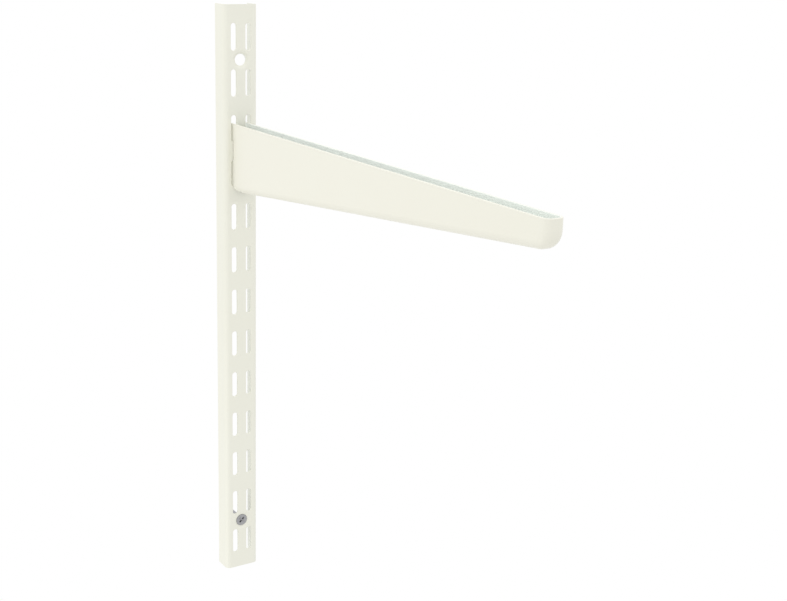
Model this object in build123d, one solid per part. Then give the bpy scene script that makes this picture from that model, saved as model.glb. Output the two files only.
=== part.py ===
from build123d import *
import math
import os

# Twin slot shelf upright, with one bracket hung in its slots and its lower fixing screw.
# The wall is the plane Y = 0, the room lies towards -Y, and Z is up.
# The origin is where the lower fixing screw enters the wall.

# Slots, in millimetres like every size here
slot_spacing = 32.0
slot_pairs = 13
slot_length = 19.0
slot_width = 4.2
column_spacing = 11.3
end_margin = 22.2

# Upright, a folded channel open to the wall
upright_width = 26.0
upright_depth = 14.5
upright_sheet = 1.2
upright_bend = 3.5
slot_edge_round = 0.35

# Fixing holes, each in a pressed dish midway between two pairs of slots
hole_diameter = 8.2
dish_diameter = 14.0
dish_roll = 3.0
dish_slope = 45.0
hole_land = 0.3

# Bracket, a pressed trough open at the top and at the wall end
bracket_pair = 3
bracket_length = 351.7
bracket_sheet = 1.5
bracket_bend = 5.0
bracket_back_height = 49.45
bracket_nose_height = 16.65
back_corner_round = 6.5
nose_corner_round = 10.8
web_setback = 9.0
rim_round = 0.4

# Each wall of the bracket has a hook above and a plain tab below it
neck_height = 12.7
hook_drop = 3.0
hook_thickness = 4.5
hook_round = 2.0
tab_reach = 4.8

# Fixing screw, countersunk, with a cross recess
head_diameter = 8.8
head_land = 0.3
shank_diameter = 3.4
core_diameter = 2.8
screw_length = 40.0
shank_in_wall = 6.0
point_length = 5.0
recess_width = 5.2
recess_wing = 1.4
recess_depth = 1.5
recess_floor_share = 0.5
recess_turn = 45.0

# Clearances
face_gap = 0.4
hook_gap = 0.3
seat_gap = 0.05
tab_gap = 0.3
trim_margin = 5.0

# Places and sizes that follow from the ones above
front_face = -upright_depth
sheet_back = front_face + upright_sheet
bracket_back = front_face - face_gap
bracket_nose = front_face - bracket_length
bracket_width = column_spacing + bracket_sheet


def slot_centre_z(pair):
    """Height of the middle of a pair of slots, counted from the top."""
    return (slot_pairs - pair - 0.5) * slot_spacing


def free_half_length():
    """Half the height that the bracket's sheet has between the round ends of a slot."""
    slot_round = slot_width / 2
    return slot_length / 2 - slot_round + math.sqrt(slot_round ** 2 - (bracket_sheet / 2) ** 2)


def seat_z(pair):
    """Height at which the bracket's sheet comes to rest on the lower end of a slot."""
    return slot_centre_z(pair) - free_half_length() + seat_gap


top_end = slot_centre_z(1) + end_margin
bottom_end = slot_centre_z(slot_pairs) - end_margin
upright_length = top_end - bottom_end
upper_hole_z = (slot_centre_z(1) + slot_centre_z(2)) / 2
lower_hole_z = (slot_centre_z(slot_pairs - 1) + slot_centre_z(slot_pairs)) / 2
bracket_top = seat_z(bracket_pair) + neck_height


def channel_section():
    """Section of the upright: a web in front and a flank at each side."""
    outer = Pos(0, front_face / 2) * Rectangle(upright_width, upright_depth)
    outer = fillet(outer.vertices().group_by(Axis.Y)[0], upright_bend)
    inner_width = upright_width - 2 * upright_sheet
    inner = Pos(0, sheet_back / 2 + trim_margin / 2) * Rectangle(inner_width, trim_margin - sheet_back)
    inner = fillet(inner.vertices().group_by(Axis.Y)[0], upright_bend - upright_sheet)
    return outer - inner


def slot_cutters():
    """Both columns of round-ended slots, as solids that pass through the web."""
    slot = SlotOverall(slot_length, slot_width, rotation=90)
    middle = (slot_centre_z(1) + slot_centre_z(slot_pairs)) / 2
    front = Plane.XZ.offset(-front_face) * Pos(0, middle)
    places = GridLocations(column_spacing, slot_spacing, 2, slot_pairs)
    return [extrude(front * place * slot, upright_sheet, both=True) for place in places]


def dish_profile():
    """Half section of a dish: the web rolls over and slopes in to the hole, punched before pressing."""
    slope = math.radians(dish_slope)
    rim = dish_diameter / 2
    hole = hole_diameter / 2
    back_roll = dish_roll - upright_sheet

    def on_roll(radius, angle):
        return (rim - radius * math.sin(angle), front_face + dish_roll - radius * math.cos(angle))

    front_start = on_roll(dish_roll, 0)
    front_end = on_roll(dish_roll, slope)
    back_start = on_roll(back_roll, 0)
    back_end = on_roll(back_roll, slope)
    hole_front = (hole, front_end[1] + (front_end[0] - hole) * math.tan(slope))
    land_end = (hole, hole_front[1] + hole_land)
    rest = upright_sheet - hole_land * math.cos(slope)
    hole_back = (hole + rest * math.sin(slope), land_end[1] + rest * math.cos(slope))
    outline = [
        ThreePointArc(front_start, on_roll(dish_roll, slope / 2), front_end),
        Line(front_end, hole_front),
        Line(hole_front, land_end),
        Line(land_end, hole_back),
        Line(hole_back, back_end),
        ThreePointArc(back_end, on_roll(back_roll, slope / 2), back_start),
        Line(back_start, front_start),
    ]
    return make_face(outline)


def slotted_upright():
    """The folded channel with its slots and its two dished fixing holes."""
    body = extrude(Pos(0, 0, bottom_end) * channel_section(), upright_length)
    body -= slot_cutters()
    front_edges = body.faces().sort_by(Axis.Y)[0].inner_wires().edges()
    body = fillet(front_edges, slot_edge_round)
    dish = revolve(dish_profile(), Axis.Y)
    opening = Pos(0, front_face, 0) * Rot(90, 0, 0) * Cylinder(dish_diameter / 2, 4 * upright_sheet)
    for height in (lower_hole_z, upper_hole_z):
        body -= Pos(0, 0, height) * opening
        body += Pos(0, 0, height) * dish
    return body


def bottom_z(y):
    """Height of the bracket's sloping bottom line at a distance from the wall."""
    run = bracket_back - bracket_nose
    rise = bracket_back_height - bracket_nose_height
    return bracket_top - bracket_back_height + rise * (bracket_back - y) / run


def side_outline():
    """Side outline of the trough, its open top and wall end carried on by a margin."""
    top = bracket_top + trim_margin
    back = bracket_back + trim_margin
    outline = Polyline(
        (back, top),
        (bracket_nose, top),
        (bracket_nose, bottom_z(bracket_nose)),
        (back, bottom_z(back)),
        close=True,
    )
    face = make_face(outline)
    corner = face.vertices().group_by(Axis.X)[0].sort_by(Axis.Y)[0]
    return fillet(corner, nose_corner_round)


def trough_block(outline, width, bend):
    """A solid of the outline, with a bend along its bottom and round its nose."""
    block = extrude(Plane.YZ * outline, width / 2, both=True)
    nose = block.faces().sort_by(Axis.Y)[0]
    bent = nose.edges().filter_by(Axis.Z)
    return fillet(bent, bend)


def kept_outline():
    """What is kept of the trough: a level rim and a rounded lower corner at the wall end."""
    front = bracket_nose - trim_margin
    outline = Polyline(
        (bracket_back, bracket_top),
        (front, bracket_top),
        (front, bottom_z(front)),
        (bracket_back, bottom_z(bracket_back)),
        close=True,
    )
    face = make_face(outline)
    corner = face.vertices().group_by(Axis.X)[-1].sort_by(Axis.Y)[0]
    return fillet(corner, back_corner_round)


def rim_edges(body):
    """The edges that run along the trough's rim, inside and outside."""
    lowest = bracket_top - trim_margin
    upward = [face for face in body.faces() if face.normal_at().Z > 0.5 and face.center().Z > lowest]
    edges = ShapeList([edge for face in upward for edge in face.edges()])
    along = edges.filter_by(lambda edge: edges.count(edge) == 1)
    return along.filter_by(lambda edge: edge.center().Y < bracket_back - rim_round)


def hook():
    """The hook of one wall: a neck through the slot and a drop behind the web, which takes the pull."""
    seat = seat_z(bracket_pair)
    drop_front = sheet_back + hook_gap
    drop_back = drop_front + hook_thickness
    root = bracket_back - back_corner_round / 2
    outline = Polyline(
        (root, seat),
        (drop_front, seat),
        (drop_front, seat - hook_drop),
        (drop_back, seat - hook_drop),
        (drop_back, bracket_top),
        (root, bracket_top),
        close=True,
    )
    face = make_face(outline)
    rounded = face.vertices().group_by(Axis.X)[-1]
    face = fillet(rounded, hook_round)
    return extrude(Plane.YZ * face, bracket_sheet / 2, both=True)


def tab():
    """The tab of one wall: it fills the next slot down, keeps the bracket upright and rests there."""
    seat = seat_z(bracket_pair + 1)
    top = slot_centre_z(bracket_pair + 1) + free_half_length() - tab_gap
    root = bracket_back - back_corner_round / 2
    back = sheet_back + tab_reach
    outline = Polyline((root, seat), (back, seat), (back, top), (root, top), close=True)
    face = make_face(outline)
    rounded = face.vertices().group_by(Axis.X)[-1]
    face = fillet(rounded, hook_round)
    return extrude(Plane.YZ * face, bracket_sheet / 2, both=True)


def shelf_bracket():
    """The trough with its soft rim, two hooks and two tabs."""
    outer = trough_block(side_outline(), bracket_width, bracket_bend)
    inner_outline = offset(side_outline(), -bracket_sheet)
    inner_width = bracket_width - 2 * bracket_sheet
    inner = trough_block(inner_outline, inner_width, bracket_bend - bracket_sheet)
    body = (outer - inner) & extrude(Plane.YZ * kept_outline(), bracket_width, both=True)
    body = fillet(rim_edges(body), rim_round)
    clearing = Box(inner_width, 2 * web_setback, bracket_back_height)
    body -= Pos(0, bracket_back, bottom_z(bracket_back)) * clearing
    for side in (-1, 1):
        place = Pos(side * column_spacing / 2, 0, 0)
        body += place * hook()
        body += place * tab()
    return body


def head_face_y():
    """Distance from the wall at which the screw's head lies flush on the dish's slope."""
    slope = math.radians(dish_slope)
    slope_start_r = dish_diameter / 2 - dish_roll * math.sin(slope)
    slope_start_y = front_face + dish_roll * (1 - math.cos(slope))
    seat_y = slope_start_y + (slope_start_r - head_diameter / 2) * math.tan(slope)
    return seat_y - head_land - seat_gap


def recess_outline(share):
    """The cross of the recess, drawn to a share of its size at the mouth."""
    wing = recess_wing * (1 + share) / 2
    bar = Rectangle(recess_width * share, wing)
    return bar + Rot(0, 0, 90) * bar


def fixing_screw():
    """Countersunk wood screw, driven through the lower hole into the wall."""
    face_y = head_face_y()
    cone_start = face_y + head_land
    cone_end = cone_start + (head_diameter - shank_diameter) / 2 * math.tan(math.radians(dish_slope))
    tip = face_y + screw_length
    step = (shank_diameter - core_diameter) / 2
    outline = Polyline(
        (0, face_y),
        (head_diameter / 2, face_y),
        (head_diameter / 2, cone_start),
        (shank_diameter / 2, cone_end),
        (shank_diameter / 2, shank_in_wall),
        (core_diameter / 2, shank_in_wall + step),
        (core_diameter / 2, tip - point_length),
        (0, tip),
        close=True,
    )
    body = revolve(make_face(outline), Axis.Y)
    mouth = Plane.XZ.offset(-face_y) * Rot(0, 0, recess_turn) * recess_outline(1)
    floor = Plane.XZ.offset(-face_y - recess_depth) * Rot(0, 0, recess_turn) * recess_outline(recess_floor_share)
    body -= loft([mouth.face(), floor.face()])
    return Pos(0, 0, lower_hole_z) * body


parts = {
    "slotted_upright": slotted_upright(),
    "shelf_bracket": shelf_bracket(),
    "fixing_screw": fixing_screw(),
}

os.makedirs("parts", exist_ok=True)
for name, part in parts.items():
    export_step(part, "parts/" + name + ".step")
    print(name, "volume", round(part.volume, 1), "box", part.bounding_box())
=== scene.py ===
# %% [markdown]
# # A twin slot shelf upright, dressed for its photograph
# The real object is a piece of wall shelving: a folded steel channel with two columns of slots, one pressed
# bracket that hangs in the third and fourth pair, and a countersunk screw in the lower fixing hole. Its
# solids come ready made from the CAD model, so this lesson adds what those leave out: the camera and the
# light of the photograph, the powder coat, the zinc plating, and the thread of the screw. Everything is in
# metres, in the frame of the CAD model: Z is up, the wall is Y = 0 and the room is towards -Y.

# %% Load the solids
import math
import bpy
from mathutils import Matrix, Vector


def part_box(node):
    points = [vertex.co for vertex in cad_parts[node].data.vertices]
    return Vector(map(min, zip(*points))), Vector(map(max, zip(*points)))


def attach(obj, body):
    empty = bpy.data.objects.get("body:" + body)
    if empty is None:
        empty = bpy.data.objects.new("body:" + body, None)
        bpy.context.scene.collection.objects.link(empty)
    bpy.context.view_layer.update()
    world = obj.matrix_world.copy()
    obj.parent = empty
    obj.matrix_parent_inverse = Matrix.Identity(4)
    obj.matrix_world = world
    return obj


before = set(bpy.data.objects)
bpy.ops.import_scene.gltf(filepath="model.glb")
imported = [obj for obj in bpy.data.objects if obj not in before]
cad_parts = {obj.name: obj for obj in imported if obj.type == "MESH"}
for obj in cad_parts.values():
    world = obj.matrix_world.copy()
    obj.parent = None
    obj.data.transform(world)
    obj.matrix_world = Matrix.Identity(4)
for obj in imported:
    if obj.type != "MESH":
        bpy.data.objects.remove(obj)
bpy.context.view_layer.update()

MM = 0.001
print("nodes", sorted(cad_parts))

# %% [markdown]
# The photograph was taken from the left of the upright and a little above it, with a moderately long lens.
# A camera could be placed by eye. This one was worked out from the picture: the slots repeat every 32 mm,
# and their places in the picture give the distance, the turn and the lens together. The turn is given as
# three plain angles: how far round to the right, how far down, and a small tilt of the camera.

# %% Camera
PICTURE_WIDTH_PX = 787
SENSOR_MM = 36.0
FOCAL_PX = 1317.9
CAMERA_PLACE = (-0.41668, -0.85888, 0.44232)
yaw, pitch, roll = (math.radians(angle) for angle in (33.09, 15.67, 1.70))

photo_lens = bpy.data.cameras.new("photo_camera")
photo_lens.sensor_width = SENSOR_MM
photo_lens.lens = FOCAL_PX * SENSOR_MM / PICTURE_WIDTH_PX
photo_lens.clip_start = 0.01
camera = bpy.data.objects.new("photo_camera", photo_lens)
bpy.context.scene.collection.objects.link(camera)
turned = Matrix.Rotation(-yaw, 4, "Z")
tipped = Matrix.Rotation(math.pi / 2 - pitch, 4, "X")
tilted = Matrix.Rotation(roll, 4, "Z")
camera.matrix_world = Matrix.Translation(CAMERA_PLACE) @ turned @ tipped @ tilted
bpy.context.scene.camera = camera
print("lens", round(photo_lens.lens, 2), "mm")

# %% [markdown]
# A node tree is made of the same step over and over: a new node, a few settings, a few values or links. One
# helper does that step. Colours are written as they are read off a screen, and a second helper turns them
# into the linear numbers that Blender works with.

# %% Two helpers for materials
def linear(hex_code):
    """A screen colour such as "F0EFE2" as linear red, green, blue and an alpha of 1."""
    channels = [int(hex_code[place:place + 2], 16) / 255 for place in (0, 2, 4)]
    return tuple(c / 12.92 if c <= 0.04045 else ((c + 0.055) / 1.055) ** 2.4 for c in channels) + (1.0,)


def add(tree, kind, settings=None, inputs=None):
    """Adds a node. An input is given by its name or number, as a value or as the output that feeds it."""
    node = tree.nodes.new(kind)
    for name, value in (settings or {}).items():
        setattr(node, name, value)
    for key, value in (inputs or {}).items():
        if isinstance(value, bpy.types.NodeSocket):
            tree.links.new(value, node.inputs[key])
        else:
            node.inputs[key].default_value = value
    return node


print("cream as linear numbers", [round(value, 3) for value in linear("F0EFE2")])

# %% [markdown]
# The background of the photograph is plain white, and the light is so soft that it comes from nearly
# everywhere. A ring of lamps could be aimed at the part, but a nearly white room does the same with no hard
# edge to its shadows. So the world is white where the camera or a reflection looks at it, and a hair under
# white where it lights. Three weak softboxes, low at the left, high at the left and overhead, add the
# little that shapes the part.

# %% World and lamps
ROOM_LIGHT = 0.99

world = bpy.data.worlds.new("white_studio")
bpy.context.scene.world = world
world.use_nodes = True
tree = world.node_tree
tree.nodes.clear()
path = add(tree, "ShaderNodeLightPath")
sees_white = add(tree, "ShaderNodeMath", {"operation": "MAXIMUM"},
                 {0: path.outputs["Is Camera Ray"], 1: path.outputs["Is Glossy Ray"]})
sees_white = add(tree, "ShaderNodeMath", {"operation": "MAXIMUM"},
                 {0: sees_white.outputs[0], 1: path.outputs["Is Transmission Ray"]})
strength = add(tree, "ShaderNodeMapRange", None,
               {"Value": sees_white.outputs[0], "To Min": ROOM_LIGHT, "To Max": 1.0})
sky = add(tree, "ShaderNodeBackground", None, {"Color": linear("FFFFFF"), "Strength": strength.outputs[0]})
add(tree, "ShaderNodeOutputWorld", None, {"Surface": sky.outputs[0]})

# each softbox has its place and its width in metres, and its power in watts
AIM = Vector((0.0, -0.10, 0.20))
softboxes = {
    "left_softbox": ((-0.55, -0.1, -0.25), 0.5, 0.54),
    "upper_left_softbox": ((-0.45, -0.1, 0.95), 0.6, 0.45),
    "top_softbox": ((0.0, 0.1, 1.5), 1.2, 2.2),
}
for name, (place, size, power) in softboxes.items():
    lamp = bpy.data.lights.new(name, "AREA")
    lamp.size = size
    lamp.energy = power
    softbox = bpy.data.objects.new(name, lamp)
    bpy.context.scene.collection.objects.link(softbox)
    softbox.location = place
    softbox.rotation_euler = (AIM - Vector(place)).to_track_quat("-Z", "Y").to_euler()
    print(name, power, "W")
bpy.context.scene.view_settings.view_transform = "Standard"

# %% [markdown]
# The part hangs on a wall, so the floor of the studio is some way below it, and no shadow of it shows in
# the picture. The floor is a pale matt sheet that the camera sees as white, like the backdrop of the
# photograph.

# %% Floor
FLOOR_WIDTH = 8.0
FLOOR_HEIGHT = -0.7

bpy.ops.object.select_all(action="DESELECT")
bpy.ops.mesh.primitive_plane_add(size=FLOOR_WIDTH, location=(0, 0, FLOOR_HEIGHT))
floor = bpy.context.object
floor.name = "studio_floor"
floor_paint = bpy.data.materials.new("white_paper_floor")
floor_paint.use_nodes = True
tree = floor_paint.node_tree
tree.nodes.clear()
path = add(tree, "ShaderNodeLightPath")
paper = add(tree, "ShaderNodeBsdfDiffuse", None, {"Color": linear("E8E8E6")})
white = add(tree, "ShaderNodeEmission", None, {"Color": linear("FFFFFF"), "Strength": 1.0})
seen = add(tree, "ShaderNodeMath", {"operation": "MAXIMUM"},
           {0: path.outputs["Is Camera Ray"], 1: path.outputs["Is Glossy Ray"]})
mixed = add(tree, "ShaderNodeMixShader", None,
            {0: seen.outputs[0], 1: paper.outputs[0], 2: white.outputs[0]})
add(tree, "ShaderNodeOutputMaterial", None, {"Surface": mixed.outputs[0]})
floor.data.materials.append(floor_paint)
print("floor at", floor.location.z, "m")

# %% [markdown]
# Upright and bracket are powder coated: dry polyester powder is charged, sprayed on the cleaned steel and
# baked, where it melts into one even skin. The skin is satin, has a faint orange peel, and is a little
# uneven in tone where it lies thicker. A few specks of dust bake into it. It could be a flat colour with a
# bump, but the tone and the specks are what make it look like paint on steel. Inside a fold the cream is
# painted lighter and cooler, as painted light for the light that reaches in there. The inside is told from
# the outside by which way a face looks: towards the middle line of its fold, or away from it.

# %% Powder coat
CLOUD_WIDTH = 45 * MM
SPECK_CELL = 24 * MM
SPECK_RADIUS = 0.25 * MM
SPECK_SHARE = 0.11
PEEL_WIDTH = 1.6 * MM
PEEL_DEPTH = 0.03 * MM


def powder_coat(name, cream, thick_cream, inside_painted_light, middle, inside_from, seed):
    """Satin polyester powder on steel. It gives the eye a soft sheen and a skin that is never quite flat, and
    paints a lighter, cooler light inside its folds.
    """
    coat = bpy.data.materials.new(name)
    coat.use_nodes = True
    tree = coat.node_tree
    tree.nodes.clear()
    coordinates = add(tree, "ShaderNodeTexCoord")
    place = coordinates.outputs["Object"]

    # the inside, which gets painted light, is what looks towards the middle line of the fold and lies behind
    # a depth
    towards = add(tree, "ShaderNodeVectorMath", {"operation": "SUBTRACT"}, {0: middle, 1: place})
    facing_in = add(tree, "ShaderNodeVectorMath", {"operation": "DOT_PRODUCT"},
                    {0: towards.outputs[0], 1: coordinates.outputs["Normal"]})
    depth = add(tree, "ShaderNodeSeparateXYZ", None, {0: place})
    behind = add(tree, "ShaderNodeMath", {"operation": "GREATER_THAN"},
                 {0: depth.outputs["Y"], 1: inside_from})
    inside = add(tree, "ShaderNodeMapRange", None,
                 {"Value": facing_in.outputs["Value"], "From Min": 0.2 * MM, "From Max": 2.0 * MM})
    inside = add(tree, "ShaderNodeMath", {"operation": "MULTIPLY"},
                 {0: inside.outputs[0], 1: behind.outputs[0]})

    shifted = add(tree, "ShaderNodeMapping", None, {"Vector": place, "Location": (seed, 2 * seed, 3 * seed)})
    place = shifted.outputs[0]

    # tone, in soft clouds
    clouds = add(tree, "ShaderNodeTexNoise", None, {"Vector": place, "Scale": 1 / CLOUD_WIDTH, "Detail": 3.0})
    tone = add(tree, "ShaderNodeMix", {"data_type": "RGBA"},
               {0: clouds.outputs[0], 6: linear(cream), 7: linear(thick_cream)})
    # painted light: inside the fold the cream is made lighter and cooler, standing in for the light that
    # reaches in there
    tone = add(tree, "ShaderNodeMix", {"data_type": "RGBA"},
               {0: inside.outputs[0], 6: tone.outputs[2], 7: linear(inside_painted_light)})

    # specks of dust, in about one in nine cells
    cells = add(tree, "ShaderNodeTexVoronoi", None, {"Vector": place, "Scale": 1 / SPECK_CELL})
    small = add(tree, "ShaderNodeMath", {"operation": "LESS_THAN"},
                {0: cells.outputs["Distance"], 1: SPECK_RADIUS / SPECK_CELL})
    pick = add(tree, "ShaderNodeSeparateColor", None, {"Color": cells.outputs["Color"]})
    chosen = add(tree, "ShaderNodeMath", {"operation": "GREATER_THAN"},
                 {0: pick.outputs[0], 1: 1 - SPECK_SHARE})
    speck = add(tree, "ShaderNodeMath", {"operation": "MULTIPLY"},
                {0: small.outputs[0], 1: chosen.outputs[0]})
    colour = add(tree, "ShaderNodeMix", {"data_type": "RGBA"},
                 {0: speck.outputs[0], 6: tone.outputs[2], 7: linear("9A917C")})

    # orange peel, as wide from crest to crest as it is named above
    peel = add(tree, "ShaderNodeTexNoise", None, {"Vector": place, "Scale": 1 / PEEL_WIDTH, "Detail": 1.0})
    bumps = add(tree, "ShaderNodeBump", None,
                {"Height": peel.outputs[0], "Strength": 0.35, "Distance": PEEL_DEPTH})
    sheen = add(tree, "ShaderNodeMapRange", None,
                {"Value": clouds.outputs[0], "To Min": 0.30, "To Max": 0.38})

    skin = add(tree, "ShaderNodeBsdfPrincipled", None,
               {"Base Color": colour.outputs[2], "Roughness": sheen.outputs[0], "IOR": 1.5,
                "Normal": bumps.outputs[0]})
    add(tree, "ShaderNodeOutputMaterial", None, {"Surface": skin.outputs[0]})
    return coat


print("orange peel", round(PEEL_WIDTH / MM, 2), "mm wide")
print("specks", round(2 * SPECK_RADIUS / MM, 2), "mm across")

# %% [markdown]
# One helper puts a finish on a solid, and both painted pieces go through it. The upright's painted inside
# light starts just in front of the back of its web, so that the walls of the slots keep the outer colour.
# The bracket's painted inside light may start anywhere along it, so its depth is set a metre out, past its
# nose. Its middle line runs level with its rim, which keeps the rim itself out of the painted inside light.

# %% Dress the upright and the bracket
def dress(node, finish):
    """Puts one finish on every material slot of a CAD node."""
    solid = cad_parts[node]
    for place in solid.material_slots:
        place.material = finish
    if not solid.material_slots:
        solid.data.materials.append(finish)
    print(node, "wears", finish.name)


NEARLY_WEB_BACK = -13.4 * MM
OUT_IN_THE_ROOM = -1.0

channel_line = (0.0, -2.0 * MM, 0.0)
# each finish's third colour is painted light: a lighter, cooler cream for the inside of its fold, in place of
# the light that reaches in there
dress("slotted_upright", powder_coat("cream_powder_coat_upright", "EFEFE4", "EEEDE0", "F1F2EA",
                                     channel_line, NEARLY_WEB_BACK, 0.0))

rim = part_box("shelf_bracket")[1].z
trough_line = (0.0, -180.0 * MM, rim)
dress("shelf_bracket", powder_coat("cream_powder_coat_bracket", "F0EFE3", "EFEDE0", "F6FAF5",
                                   trough_line, OUT_IN_THE_ROOM, 0.7))

# %% [markdown]
# The screw is steel with a thin layer of zinc. Plating could be one even grey metal, but fresh zinc is
# slightly milky: its grey and its dullness wander over a millimetre or two, and its fine crystals break the
# shine.

# %% Zinc plating
MILK_WIDTH = 1.5 * MM
CRYSTAL_WIDTH = 0.25 * MM
CRYSTAL_DEPTH = 0.01 * MM

zinc = bpy.data.materials.new("dull_zinc_plating")
zinc.use_nodes = True
tree = zinc.node_tree
tree.nodes.clear()
place = add(tree, "ShaderNodeTexCoord").outputs["Object"]
milk = add(tree, "ShaderNodeTexNoise", None, {"Vector": place, "Scale": 1 / MILK_WIDTH, "Detail": 2.0})
tone = add(tree, "ShaderNodeMix", {"data_type": "RGBA"},
           {"Factor": milk.outputs[0], 6: linear("9FA0A5"), 7: linear("B6B5B4")})
dullness = add(tree, "ShaderNodeMapRange", None, {"Value": milk.outputs[0], "To Min": 0.32, "To Max": 0.5})
grain = add(tree, "ShaderNodeTexNoise", None, {"Vector": place, "Scale": 1 / CRYSTAL_WIDTH, "Detail": 1.0})
crystals = add(tree, "ShaderNodeBump", None,
               {"Height": grain.outputs[0], "Strength": 0.4, "Distance": CRYSTAL_DEPTH})
metal = add(tree, "ShaderNodeBsdfPrincipled", None,
            {"Base Color": tone.outputs[2], "Metallic": 1.0, "Roughness": dullness.outputs[0],
             "Normal": crystals.outputs[0]})
add(tree, "ShaderNodeOutputMaterial", None, {"Surface": metal.outputs[0]})
dress("fixing_screw", zinc)

# %% [markdown]
# The thread of a wood screw is a thin sharp ridge, rolled out of the wire in one long spiral. It starts a
# little below the smooth shank, grows over half a turn, and is drawn down over the point, where it gets its
# first bite. A stack of rings would look the same from far off but would have no lead. Here one small
# triangle, the section of the ridge, is swept round the screw's own axis by a Screw modifier.

# %% Section of the thread
THREAD_STEP = 2.15 * MM
CREST_RADIUS = 2.25 * MM
ROOT_RADIUS = 1.32 * MM
RIDGE_WIDTH = 0.9 * MM
THREAD_START = 6.5 * MM
STEPS_PER_TURN = 36

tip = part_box("fixing_screw")[1].y
turns = int((tip - THREAD_START - RIDGE_WIDTH / 2) / THREAD_STEP)
bpy.ops.object.select_all(action="DESELECT")
bpy.ops.mesh.primitive_circle_add(vertices=3, radius=1.0, fill_type="NOTHING")
thread = bpy.context.object
thread.name = "screw_thread"
bpy.ops.object.mode_set(mode="EDIT")
bpy.ops.mesh.select_all(action="SELECT")
bpy.ops.transform.rotate(value=math.radians(90), orient_axis="Z", center_override=(0, 0, 0))
bpy.ops.object.mode_set(mode="OBJECT")
print("corners before sizing", [[round(v, 2) for v in corner.co] for corner in thread.data.vertices])

# %% [markdown]
# The triangle is still as large as the primitive came. It is sized by its own measured reach and width, so
# that one corner becomes the crest and the opposite side lies just under the core, and is then moved out to
# its radius.

# %% Size and place of the section
corners = [corner.co for corner in thread.data.vertices]
reach = max(c.x for c in corners) - min(c.x for c in corners)
width = max(c.y for c in corners) - min(c.y for c in corners)
bpy.ops.object.mode_set(mode="EDIT")
bpy.ops.mesh.select_all(action="SELECT")
bpy.ops.transform.resize(value=((CREST_RADIUS - ROOT_RADIUS) / reach, RIDGE_WIDTH / width, 1.0),
                         center_override=(0, 0, 0))
bpy.ops.object.mode_set(mode="OBJECT")
outermost = max(corner.co.x for corner in thread.data.vertices)
bpy.ops.object.mode_set(mode="EDIT")
bpy.ops.transform.translate(value=(CREST_RADIUS - outermost, THREAD_START, 0))
bpy.ops.object.mode_set(mode="OBJECT")
print("section in mm", [[round(v / MM, 2) for v in corner.co] for corner in thread.data.vertices])

# %% [markdown]
# The Screw modifier turns the section round the Y axis and moves it on by one step each turn, which is the
# lead that a real thread has. Applied, it leaves one mesh whose points lie in rows of three, one row for
# each position.

# %% Sweep round the axis
sweep = thread.modifiers.new("sweep", "SCREW")
sweep.axis = "Y"
sweep.screw_offset = THREAD_STEP
sweep.iterations = turns
sweep.steps = STEPS_PER_TURN
sweep.render_steps = STEPS_PER_TURN
bpy.ops.object.modifier_apply(modifier=sweep.name)
print("swept", turns, "turns,", len(thread.data.vertices), "points")

# %% [markdown]
# The sweep is an open tube of one width. Over the first half turn every row is drawn in towards the core, a
# little less at each step, so that the ridge grows out of it. On the point the core is a cone, and the
# ridge has to follow: everything beyond a height is scaled towards the axis, and this is repeated in thin
# steps down to the tip. At last the two ends are closed, by merging each end's three corners into one
# point.

# %% Ends, run in and point
POINT_LENGTH = 5.0 * MM
CONE_STEPS = 24
CORNERS = 3
SMOOTH_BELOW_DEGREES = 35
mesh = thread.data


def select_points(wanted):
    """Selects the thread's points that pass a test, and leaves the piece in edit mode."""
    bpy.ops.object.mode_set(mode="EDIT")
    bpy.ops.mesh.select_mode(type="VERT")
    bpy.ops.mesh.select_all(action="DESELECT")
    bpy.ops.object.mode_set(mode="OBJECT")
    for point in mesh.vertices:
        point.select = wanted(point)
    bpy.ops.object.mode_set(mode="EDIT")


run_in = STEPS_PER_TURN // 2
for step in range(run_in):
    share = 1 - (1 - step / run_in) * (1 - ROOT_RADIUS / CREST_RADIUS)
    select_points(lambda point: point.index == CORNERS * step)
    bpy.ops.transform.resize(value=(share, 1.0, share), center_override=(0, 0, 0))

cone_start = tip - POINT_LENGTH
drawn = 1.0
for step in range(1, CONE_STEPS + 1):
    height = cone_start + step * POINT_LENGTH / (CONE_STEPS + 1)
    wanted_share = (tip - height) / POINT_LENGTH
    select_points(lambda point: point.co.y > height)
    closer = wanted_share / drawn
    bpy.ops.transform.resize(value=(closer, 1.0, closer), center_override=(0, 0, 0))
    drawn = wanted_share

last = len(mesh.vertices) - CORNERS
select_points(lambda point: point.index >= last)
bpy.ops.mesh.merge(type="CENTER")
select_points(lambda point: point.index < CORNERS)
bpy.ops.mesh.merge(type="CENTER")
bpy.ops.mesh.select_all(action="SELECT")
bpy.ops.mesh.normals_make_consistent(inside=False)
bpy.ops.object.mode_set(mode="OBJECT")
bpy.ops.object.shade_smooth_by_angle(angle=math.radians(SMOOTH_BELOW_DEGREES))
thread.data.materials.append(zinc)
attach(thread, "root")
print("thread from", round(min(p.co.y for p in mesh.vertices) / MM, 1), "to",
      round(max(p.co.y for p in mesh.vertices) / MM, 1), "mm,", len(mesh.polygons), "faces")
